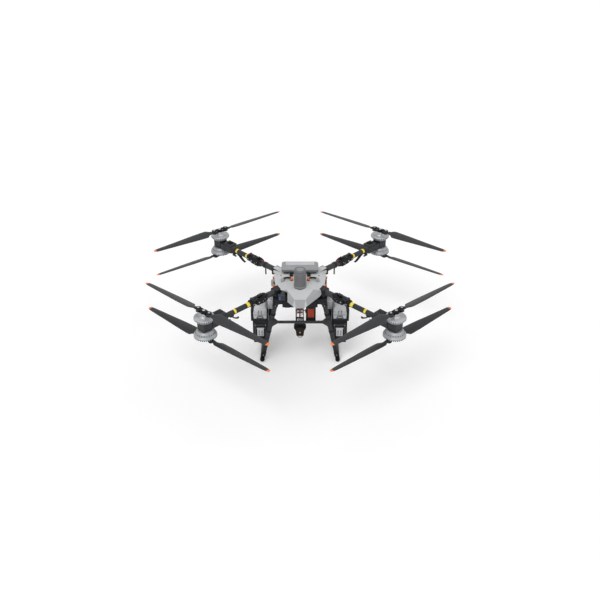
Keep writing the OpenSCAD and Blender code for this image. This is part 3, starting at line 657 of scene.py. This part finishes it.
def flanks():
    """Side plates, orange catches and the knob beside the body."""
    plates = both(lambda: lump([(214, -118, 690), (226, -100, 684), (232, 20, 690), (232, 40, 716),
                                (230, 20, 742),
                                (222, -90, 738), (206, -118, 730), (206, 30, 690), (206, 30, 742)], 4))
    piece("side_plates", plates, "root", NYLON)
    catches = merged(both(lambda: box(216, 236, 16, 32, 730, 748, 3)),
                     both(lambda: box(212, 230, -112, -94, 720, 740, 3)))
    piece("side_catches", catches, "root", ORANGE)
    knob = lathe([(0, 690), (17, 690), (17.5, 742), (14, 748), (8, 750), (0, 750)], 48)
    piece("side_knob", put(knob, Matrix.Translation((-231 * MM, -34 * MM, 0))), "root", POD)
    belly = [both(lambda: box(84, 132, -186, -148, 560, 606, 4)),
             both(lambda: box(150, 176, -176, -120, 588, 640, 4)), box(-60, 60, 150, 196, 590, 606, 3),
             both(lambda: box(136, 149, -150, 170, 612, 690, 2))]
    piece("belly_boxes", merged(*belly), "root", NYLON)
    vents = [box(-120 + k * 22, -108 + k * 22, 204.2, 206.4, 630, 680, 1) for k in range(11)]
    piece("rear_vents", merged(*vents), "root", CHARCOAL)


shell()
tower()
pod()
leads()
flanks()


# ---------------------------------------------------------------- batteries
def on_side(bm, side):
    """A shape made for the right-hand side, or its mirror image."""
    if side == "left":
        put(bm, Matrix.Diagonal((-1, 1, 1, 1)))
        bmesh.ops.reverse_faces(bm, faces=bm.faces)
    return bm


def raised(a, b, rows):
    """A raised panel between two x values: each row is an inset from them, a y and a z."""
    return lump([(x, y, z) for inset, y, z in rows for x in (a + inset, b - inset)], 1.5)


def battery(side):
    """A battery: light faceted head with a handle slot, dark ribbed case with a plate, and a guard outside."""
    low, high = [Vector(c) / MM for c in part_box("battery_right")]
    x0, x1, y0, y1, z0, z1 = low.x + 2, low.x + 121, low.y, high.y, low.z, high.z
    body = f"battery_{side}"
    split = z1 - 112
    head = [lump(level_corners(x0 + 4, x1 - 4, y0 + 3, y1 - 2, split)
                 + level_corners(x0 + 1, x1 - 1, y0 + 5, y1 - 2, split + 40)
                 + level_corners(x0 + 5, x1 - 5, y0 + 14, y1 - 6, z1 - 26)
                 + level_corners(x0 + 18, x1 - 18, y0 + 32, y1 - 20, z1 - 1), 3)]
    for a, b in ((x0 + 14, x0 + 46), (x1 - 46, x1 - 14)):
        head.append(raised(a, b, ((0, y0 + 6, split + 44), (4, y0 + 1, split + 52), (4, y0 + 5, z1 - 34),
                                  (0, y0 + 14, z1 - 26))))
    head.append(raised(x0, x1, ((50, y0 + 7, split + 46), (52, y0 + 3, split + 56), (54, y0 + 8, z1 - 34),
                                (50, y0 + 16, z1 - 28))))
    head.append(raised(x0, x1, ((30, y0 + 2, split + 6), (42, y0 + 0.2, split + 22),
                                (30, y0 + 9, split + 6),
                                (42, y0 + 9, split + 22))))
    top = piece(f"head_{side}", on_side(merged(*head), side), body, HEAD, 0.4)
    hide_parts(body)
    # The flared dark lump in the hollow of the handle, a painted shade, and the case
    dark = [lump(level_corners(x0 + 26, x1 - 26, y0 + 1.2, y0 + 10, split + 3)
                 + level_corners(x0 + 40, x1 - 40, y0 + 1.2, y0 + 10, split + 30), 2),
            lump(level_corners(x0 + 2, x1 - 2, y0 + 3, y1 - 1, split - 2)
                 + level_corners(x0 + 2, x1 - 2, y0 + 3, y1 - 1, z0 + 24)
                 + level_corners(x0 + 18, x1 - 18, y0 + 5, y1 - 3, z0 + 1), 3)]
    dark += [box(x0 + 8 + k * 12, x0 + 12 + k * 12, y0 + 0.6, y0 + 6, z0 + 40, split - 22, 1)
             for k in (0, 1, 8, 9)]
    dark.append(box(x0 + 30, x1 - 30, y0 + 1, y0 + 6, split - 20, split - 10, 2))
    # The guard outside: two posts, two rails and four stand-offs
    for a, b in ((y0 + 6, y0 + 26), (y1 - 26, y1 - 8)):
        dark.append(box(x1 + 4, x1 + 20.5, a, b, split - 26, z1 - 22, 4))
    for a, b in ((split - 28, split - 10), (z1 - 40, z1 - 22)):
        dark.append(box(x1 + 4, x1 + 20.5, y0 + 8, y1 - 10, a, b, 4))
    dark += [box(x1 - 2, x1 + 12, y, y + 16, z, z + 14, 2)
             for y in (y0 + 22, y1 - 40) for z in (split - 10, z1 - 56)]
    piece(f"case_and_handle_shade_{side}", on_side(merged(*dark), side), body, CASE, 0.4)
    grooves = [box(x, x + 2.6, y0 + 1.4, y0 + 6, split + 36, z1 - 30, 0.8) for x in (x0 + 47, x1 - 49.6)]
    grooves.append(box(x0 + 6, x1 - 6, y0 + 1.6, y0 + 6, split + 36, split + 38.6, 0.8))
    piece(f"head_grooves_{side}", on_side(merged(*grooves), side), body, POD_DARK)


def bay_plates():
    """The plain light plate, screws and stiffening ribs on the front of each battery bay."""
    low = Vector(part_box("battery_right")[0]) / MM
    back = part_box("battery_bays")[1][1] / MM
    wall = low.y - 2.4
    plate = both(lambda: merged(box(316, 374, wall - 2.4, wall + 3, 238, 316, 3),
                                box(312, 378, wall - 1.4, wall + 3, 312, 324, 2)))
    piece("bay_plates", plate, "root", HEAD, 0.4)
    piece("bay_plate_slots", both(lambda: merged(*[box(x, x + 9, wall - 3.2, wall, z, z + 11, 1.2)
                                                   for x in (328, 353) for z in (248, 267, 286)])),
          "root", RUBBER)
    lip = [(x, wall + depth, z) for x, z in ((278, 178), (408, 196), (398, 178), (278, 204), (408, 208))
           for depth in (-5, 4)]
    ribs = both(lambda: merged(box(292, 304, wall - 6, wall + 3, 196, 372, 3),
                               box(384, 398, wall - 6, wall + 3, 196, 372, 3),
                               box(296, 394, wall - 5, wall + 3, 346, 362, 3),
                               box(300, 390, wall - 5, wall + 3, 200, 214, 3), lump(lip, 3)))
    piece("bay_ribs", ribs, "root", CHARCOAL)
    sides = both(lambda: merged(box(402, 411, wall + 2, wall + 26, 196, 420, 3),
                                box(402, 411, back - 40, back - 16, 196, 420, 3),
                                box(402, 410, wall + 10, back - 20, 196, 216, 3),
                                box(402, 410, wall + 10, back - 20, 300, 316, 3)))
    piece("bay_sides", sides, "root", NYLON)
    screws = both(lambda: merged(*[rod((x, wall - 6.8, z), (x, wall, z), 3.4, 0.8) for x in (298, 391)
                                   for z in (232, 354)]))
    piece("bay_screws", screws, "root", STEEL)


def power_box_lids():
    """Ribbed lids on the power boxes beside the batteries."""
    low, high = [Vector(c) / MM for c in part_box("power_boxes")]
    x0, x1, y0, y1, z0, z1 = 240, high.x, low.y, high.y, low.z, high.z
    lids = both(lambda: merged(lump(level_corners(x0 + 2, x1 - 2, y0 + 2, y1 - 2, z1 - 1)
                                    + level_corners(x0 + 8, x1 - 8, y0 + 10, y1 - 10, z1 + 7), 2),
                               box(x0 + 6, x1 - 6, y0 - 3, y0 + 2, z0 + 8, z1 - 10, 2)))
    piece("power_box_lids", lids, "root", HEAD, 0.4)


# ---------------------------------------------------------------- winch and hook
def ring_about_y(big, small, at, steps=56, sides=20):
    """A ring of round stock lying in the XZ plane, in millimetres."""
    bm = bmesh.new()
    bmesh.ops.create_circle(bm, cap_ends=False, segments=sides, radius=small * MM)
    put(bm, Matrix.Translation((big * MM, 0, 0)))
    bmesh.ops.spin(bm, geom=bm.verts[:] + bm.edges[:], axis=(0, 1, 0), cent=(0, 0, 0), angle=2 * pi,
                   steps=steps, use_merge=True)
    return put(bm, Matrix.Translation(Vector(at) * MM))


def winch():
    """The winch: finned red motor in a dark frame, rollers and a strap."""
    low, high = [Vector(c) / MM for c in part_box("winch_motor")]
    x0, x1, y0 = low.x + 22, high.x, low.y
    red = [box(x0, x1, y0 - 9, y0 + 30, 424, 512, 2)]
    red += [box(x0 + 3, x1 - 3, y0 - 12, y0 - 8, 428 + 7 * k, 431.5 + 7 * k, 0.8) for k in range(12)]
    red += [box(x1 - 1, x1 + 3, y0 + 2, y0 + 60, 414 + 8 * k, 418 + 8 * k, 0.8) for k in range(8)]
    piece("winch_fins", merged(*red), "root", RED)
    dark = [box(x0 - 16, x0 - 1, y0 - 11, y0 - 2, 392, 518, 3),
            box(x1 + 1, x1 + 14, y0 - 11, y0 - 2, 392, 518, 3),
            box(x0 - 16, x1 + 14, y0 - 11, y0 - 2, 388, 422, 3),
            box(x0 - 16, x1 + 14, y0 - 11, y0 - 2, 513, 528, 3)]
    piece("winch_bezel", merged(*dark), "root", NYLON)
    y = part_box("winch_frame")[0][1] / MM
    rollers = [rod((-26, y - 3, z), (26, y - 3, z), 4.2, 0.8) for z in (404, 415)]
    rollers.append(rod((8, y - 2, 452), (28, y - 2, 466), 4, 0.8))
    piece("winch_rollers", merged(*rollers), "root", STEEL)
    piece("winch_strap", merged(box(-7, 5, y - 3, y - 0.5, 430, 520, 1),
                                box(-12, 10, y - 4, y - 0.5, 516, 528, 1.5)),
          "root", DARK_RED)
    cheeks = [box(-38, -30, y + 6, y + 102, 380, 590, 3), box(-33, 33, y - 2, y + 8, 572, 600, 3),
              box(-33, 33, y - 2, y + 6, 366, 396, 3)]
    piece("winch_cheeks", merged(*cheeks), "root", NYLON)


def hook():
    """The hook unit: broad shoulder, tapering body, release button and a pale ring."""
    line = (Vector(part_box("winch_line")[0]) + Vector(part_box("winch_line")[1])) / 2 / MM
    low, high = [Vector(c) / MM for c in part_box("cargo_hook")]
    y, top = line.y, high.z
    shoulder = hull(paired((53.5, 24, top - 24), (53.5, 24, top - 12), (24, 53, top - 24),
                           (24, 53, top - 12),
                           (44, 20, top - 1), (18, 44, top - 1), (34, 26, top - 58), about=y), 3)
    trunk = hull(paired((37, 27, top - 44), (33, 27, top - 92), (31, 25, top - 104), (26, 20, top - 109),
                        about=y), 3)
    ribs = [box(-31, 31, y - 28.4, y - 26, z, z + 3, 1) for z in (top - 98, top - 90, top - 82)]
    shape = piece("hook_unit", merged(shoulder, trunk, *ribs), "hook", NYLON, 0.5)
    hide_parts("cargo_hook")
    button = put(lathe([(0, 0), (7.5, 0), (7.5, 4), (5.5, 5.4), (0, 5.4)], 36),
                 Matrix.Translation((0, (y - 27) * MM, (top - 66) * MM)) @ Matrix.Rotation(pi / 2, 4, "X"))
    piece("hook_button", button, "hook", ORANGE)
    collar = put(lathe([(0, -2), (11, -2), (11, 1), (9, 2), (0, 2)], 36),
                 Matrix.Translation((0, (y - 27) * MM, (top - 66) * MM)) @ Matrix.Rotation(pi / 2, 4, "X"))
    gland = put(lathe([(0, 0), (9, 0), (9, 1), (5, 1.2), (0, 1.2)], 36),
                Matrix.Translation((0, y * MM, (top - 1) * MM)))
    piece("hook_collar", merged(collar, gland), "hook", CHARCOAL)
    eye = ring_about_y(20, 5.8, (0, y, low.z + 26))
    piece("hook_ring", eye, "hook", PALE_METAL_AND_HIGHLIGHT)


# ---------------------------------------------------------------- arms
def band(x0, x1, radius=22.7):
    """A strip of tape laid over the top of the folding tube."""
    outline = [(0, x0), (radius - 0.3, x0), (radius, x0 + 0.4), (radius, x1 - 0.4), (radius - 0.3, x1),
               (0, x1)]
    bm = put(lathe(outline, 56), Matrix.Rotation(pi / 2, 4, "Y"))
    split = bmesh.ops.bisect_plane(bm, geom=bm.verts[:] + bm.edges[:] + bm.faces[:],
                                   plane_co=(0, 0, -4 * MM), plane_no=(0, 0, -1), clear_outer=True)
    bmesh.ops.contextual_create(bm, geom=[e for e in split["geom_cut"]
                                          if isinstance(e, bmesh.types.BMEdge)])
    return bm


def arm(end):
    """Bands, fold fitting, motor block trim and controller cover of one arm."""
    fold, motor = arm_frame(end, "fold"), arm_frame(end)
    front_end = end[0] == "f"
    length = (motor.to_translation() - fold.to_translation()).length / MM
    body = f"arm_{end}"
    # Middles of the two tapes, from the fold's pin
    inner, outer = (100, 241) if front_end else (85, 222)
    tape = merged(band(inner - 15, inner + 15), band(outer - 10, outer + 10))
    piece(f"bands_{end}", put(tape, fold), body, YELLOW)
    if not front_end:
        dot = put(lathe([(0, 0), (6, 0), (6, 1.0), (0, 1.0)], 28),
                  fold @ Matrix.Translation((inner * MM, 0, 22.4 * MM)))
        piece(f"band_dot_{end}", dot, body, ORANGE)
    # Moving half of the fold fitting
    clam = [lump(paired((36, 30, -14), (36, 30, 18), (44, 22, 27), (44, 22, -27), (72, 22, 25),
                        (72, 27, -12),
                        (82, 23, -16), (82, 18, 22), (72, 20, -26)), 2),
            box(40, 66, -33, 33, -7, 7, 3)]
    clam += [put(lathe([(0, -2), (5.4, -2), (5.4, 0), (0, 0)], 24),
                 Matrix.Translation((x * MM, 0, 28.6 * MM)))
             for x in (50, 66)]
    piece(f"fold_clam_{end}", put(merged(*clam), fold), body, NYLON, 0.5)
    bolts = [rod((x, -35, 0), (x, 35, 0), 4.4, 0.8) for x in (47, 59)]
    piece(f"fold_bolts_{end}", put(merged(*bolts), fold), body, STEEL)
    # Fixed half: cheeks beside the bracket, pivot heads, and an accent on the rear arms
    cheek = [put(lathe([(0, 29), (22, 29), (22, 34), (19, 36.5), (8, 36.5), (7, 35), (0, 35)], 48),
                 Matrix.Rotation(s * pi / 2, 4, "X")) for s in (1, -1)]
    for s in (1, -1):
        cheek.append(lump([(-90, s * 16, -22), (-90, s * 16, 20), (-72, s * 29, -24), (-72, s * 29, 22),
                           (-72, s * 35, -12), (-72, s * 35, 12), (-20, s * 35, -14), (-20, s * 35, 14),
                           (-20, s * 29, -22), (-20, s * 29, 22)], 2))
    cheek.append(lump(paired((-112, 20, -24), (-112, 20, 24), (-78, 29, -28), (-78, 29, 28), (-88, 22, 34)),
                      3))
    piece(f"fold_cheeks_{end}", put(merged(*cheek), fold), "root", NYLON, 0.5)
    heads = [put(lathe([(0, 34), (6.6, 34), (6.6, 38), (5.4, 39), (2.6, 39), (2.4, 37.4), (0, 37.4)], 32),
                 Matrix.Rotation(s * pi / 2, 4, "X")) for s in (1, -1)]
    heads += [rod((x, s * 33, z), (x, s * 36.4, z), 3.4, 0.7)
              for s in (1, -1) for x, z in ((-64, 6), (-44, -6))]
    piece(f"fold_heads_{end}", put(merged(*heads), fold), "root", STEEL)
    if not front_end:
        shoulder = lump(paired((-356, 38, -14), (-261, 33, -16), (-356, 38, 22), (-261, 33, 15),
                               (-352, 25, 33),
                               (-267, 21, 29)), 4)
        piece(f"shell_shoulder_{end}", put(shoulder, fold), "root", SHELL, 0.4)
        piece(f"fold_accent_{end}", put(box(-114, -98, -12, 12, 22, 31, 2), fold), "root",
              DARK_RED)
    # Controller cover between the fold and the motor
    if front_end:
        dark = [put(box(-4, 4, -25, 25, -3.6, 0.5, 0.6), Matrix.Translation(((-166 + 17 * k) * MM, 0,
                                                                             66 * MM))
                    @ Matrix.Rotation(radians(20), 4, "Z")) for k in range(5)]
        rim = [lump(paired((-190, 37, 44), (-92, 37, 44), (-184, 34, 65.5), (-96, 34, 65.5), (-190, 37, 56),
                           (-92, 37, 58)), 2)]
    else:
        dark = [box(-168, -114, -24, 24, 49, 51.4, 1)]
        rim = [box(-188, -90, -38, 38, 46, 50.6, 2), box(-172, -110, -28, -24, 50, 52.4, 1),
               box(-172, -110, 24, 28, 50, 52.4, 1), box(-172, -168, -28, 28, 50, 52.4, 1),
               box(-114, -110, -28, 28, 50, 52.4, 1)]
        screw = put(lathe([(0, 50), (5.5, 50), (5.5, 52.4), (4.4, 53.2), (0, 53.2)], 28),
                    Matrix.Translation((-99 * MM, 14 * MM, 0)))
        piece(f"cover_screw_{end}", put(screw, motor), body, STEEL)
    piece(f"cover_vents_{end}", put(merged(*dark), motor), body, RUBBER)
    sides = [box(-184 + 19 * k, -172 + 19 * k, s * 40 - 1.6, s * 40 + 1.6, -18, 16, 1)
             for k in range(6) for s in (-1, 1)]
    nose = lump(paired((-214, 14, -22), (-214, 14, 24), (-188, 37, -25), (-188, 37, 28), (-188, 30, 42)), 2)
    piece(f"cover_trim_{end}", put(merged(*rim, *sides, nose), motor), body, CHARCOAL, 0.5)
    # Block between the bells, set square to the arm: seam, boss and a screw on each face
    trim = []
    for k in range(4):
        face = merged(box(-30, 30, -42.9, -41, -22, -19, 0.8), box(-30, 30, -42.9, -41, 40, 43, 0.8),
                      box(-5, 5, -43.4, -41, 4, 22, 1.5))
        trim.append(put(face, Matrix.Rotation(k * pi / 2, 4, "Z")))
    piece(f"block_trim_{end}", put(merged(*trim), motor), body, CHARCOAL)
    claw = [box(-286, -248, -17, 17, -30, -18, 3)]
    path = ((-256, -22, 15), (-282, -46, 13), (-312, -66, 11), (-334, -74, 9), (-344, -68, 7))
    for (x0, z0, w0), (x1, z1, w1) in zip(path, path[1:]):
        claw.append(lump([(x0, s * w0, z0 + t) for s in (-1, 1) for t in (-4, 4)]
                         + [(x1, s * w1, z1 + t) for s in (-1, 1) for t in (-4, 4)], 1.5))
    piece(f"blade_claw_{end}", put(merged(*claw), motor), body, NYLON)
    # Seams along the folding tube
    ribs = merged(*[box(112, length - 220, s * 21.4 - 0.9, s * 21.4 + 0.9, -3, 3, 0.6) for s in (-1, 1)])
    piece(f"tube_ribs_{end}", put(ribs, fold), body, CHARCOAL)


# ---------------------------------------------------------------- camera and undercarriage
def nose_camera():
    """A tilting camera with two coated lenses."""
    low, high = [Vector(c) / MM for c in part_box("camera")]
    x, y, z = low.x + 15, low.y, (low.z + high.z) / 2
    turn = Matrix.Rotation(pi / 2, 4, "X")
    bezels, glass = [], []
    for dz in (-9.4, 9.4):
        at = Matrix.Translation((x * MM, (y + 3) * MM, (z + dz) * MM)) @ turn
        bezels.append(put(lathe([(0, -3), (9.2, -3), (9.2, 1.4), (8.7, 2), (8.2, 2), (8, 1), (0, 1)], 40),
                          at))
        glass.append(put(lathe([(0, 0.4), (8.1, 0.4), (7.8, 2.0), (5, 3.2), (0, 3.8)], 40), at))
    piece("camera_bezels", merged(*bezels), "camera", NYLON)
    # The blue of the lenses is a painted reflection
    piece("camera_glass", merged(*glass), "camera", LENS_PAINTED_REFLECTION)
    side = put(lathe([(0, 0), (26, 0), (26, 1.4), (22, 2.2), (0, 2.2)], 56),
               Matrix.Translation((high.x * MM, (high.y - 34) * MM, z * MM)) @ Matrix.Rotation(pi / 2, 4,
                                                                                               "Y"))
    piece("camera_hub", side, "camera", CHARCOAL)


def leg_point(z):
    """The centre of the rear right leg at a height."""
    foot, head = Vector((334, 158, 20)), Vector((196, 156, 640))
    return foot.lerp(head, (z - 20) / 620)


def undercarriage():
    """Clamps and screws on the legs and skids."""
    def corners(make):
        return merged(*[make(sx, sy) for sx in (-1, 1) for sy in (-1, 1)])

    def place(z, sx, sy):
        p = leg_point(z)
        return (sx * p.x, sy * p.y, p.z)

    clamps = corners(lambda sx, sy: merged(rod(place(560, sx, sy), place(592, sx, sy), 24.5, 2),
                                           rod(place(470, sx, sy), place(490, sx, sy), 23, 1.5),
                                           rod(place(300, sx, sy), place(312, sx, sy), 22, 1.5),
                                           rod(place(44, sx, sy), place(86, sx, sy), 23, 2)))
    piece("leg_clamps", clamps, "root", NYLON)
    screws = corners(lambda sx, sy: merged(*[rod((sx * (leg_point(z).x), sy * (leg_point(z).y + 19), z),
                                                 (sx * (leg_point(z).x), sy * (leg_point(z).y + 26.5), z),
                                                 4, 0.8)
                                             for z in (576, 65)]))
    piece("leg_screws", screws, "root", STEEL)


def shell_shoulders():
    """The rear corners of the upper moulding, which run out over the roots of the rear arms."""
    corner = both(lambda: lump([(118, 30, 712), (206, 30, 712), (112, 30, 766), (196, 30, 762),
                                (128, 168, 712),
                                (196, 160, 712), (132, 160, 744), (188, 152, 744), (150, 66, 768),
                                (196, 52, 764),
                                (214, 60, 716), (120, 150, 716)], 4))
    piece("shell_corners", corner, "root", SHELL, 0.4)
    seams = both(lambda: box(136, 190, 96, 98.4, 750, 758.6, 0.8))
    piece("shell_corner_seams", seams, "root", POD_DARK)


shell_shoulders()
for side in ("left", "right"):
    battery(side)
bay_plates()
power_box_lids()
winch()
hook()
for end in ENDS:
    arm(end)
nose_camera()
undercarriage()


# ---------------------------------------------------------------- floor, light and camera
# Half the floor's width in metres, the floor's own brightness to the camera, and the surround's
FLOOR_HALF, FLOOR_LIFT, SURROUND = 40, 0.16, 0.58
# Each lamp's name, strength, spread, tilt and turn, the last three in degrees
SUNS = (("key lamp", 1.15, 34, 36, -32), ("fill lamp", 0.4, 70, 50, 60))
# The camera's place in metres, its tilt in degrees, and its lens and sensor in millimetres
CAMERA_PLACE, CAMERA_TILT = (0, -5.771, 4.0685), 58.45
LENS, SENSOR, VIEW_END = 46.51, 36, 200


def studio():
    """A pale floor, one soft key and a fill, and a white surround."""
    scene = bpy.context.scene
    scene.view_settings.view_transform = "Standard"
    ground = bmesh.new()
    bmesh.ops.create_grid(ground, x_segments=1, y_segments=1, size=FLOOR_HALF)
    mesh = bpy.data.meshes.new("floor")
    ground.to_mesh(mesh)
    ground.free()
    floor = bpy.data.objects.new("floor", mesh)
    scene.collection.objects.link(floor)
    paint = bpy.data.materials.new("matt white floor paint")
    paint.use_nodes = True
    shader = paint.node_tree.nodes["Principled BSDF"]
    shader.inputs["Base Color"].default_value = linear("#f4f4f4")
    shader.inputs["Roughness"].default_value = 0.9
    # The floor reads as a white sweep to the camera, and keeps the shadow
    seen = add(paint.node_tree, "ShaderNodeLightPath").outputs["Is Camera Ray"]
    lift = add(paint.node_tree, "ShaderNodeMath", {0: seen, 1: FLOOR_LIFT}, operation="MULTIPLY").outputs[0]
    shader.inputs["Emission Color"].default_value = (1, 1, 1, 1)
    paint.node_tree.links.new(lift, shader.inputs["Emission Strength"])
    mesh.materials.append(paint)
    world = bpy.data.worlds.new("studio surround")
    scene.world = world
    world.use_nodes = True
    tree = world.node_tree
    tree.nodes.clear()
    path = add(tree, "ShaderNodeLightPath")
    seen = add(tree, "ShaderNodeMath", {0: path.outputs["Is Camera Ray"], 1: path.outputs["Is Glossy Ray"]},
               operation="MAXIMUM").outputs[0]
    seen = add(tree, "ShaderNodeMath", {0: seen, 1: path.outputs["Is Transmission Ray"]},
               operation="MAXIMUM").outputs[0]
    light = add(tree, "ShaderNodeBackground", {"Color": (1, 1, 1, 1), "Strength": SURROUND}).outputs[0]
    white = add(tree, "ShaderNodeBackground", {"Color": (1, 1, 1, 1), "Strength": 1.0}).outputs[0]
    mixed = add(tree, "ShaderNodeMixShader", {0: seen, 1: light, 2: white}).outputs[0]
    add(tree, "ShaderNodeOutputWorld", {"Surface": mixed})
    for name, power, spread, tilt, turn in SUNS:
        lamp = bpy.data.lights.new(name, "SUN")
        lamp.energy = power
        lamp.angle = radians(spread)
        holder = bpy.data.objects.new(name, lamp)
        holder.rotation_euler = (radians(tilt), 0, radians(turn))
        scene.collection.objects.link(holder)
    lens = bpy.data.cameras.new("camera")
    lens.lens = LENS
    lens.sensor_width = SENSOR
    lens.clip_end = VIEW_END
    eye = bpy.data.objects.new("camera", lens)
    eye.location = CAMERA_PLACE
    eye.rotation_euler = (radians(CAMERA_TILT), 0, 0)
    scene.collection.objects.link(eye)
    scene.camera = eye


studio()
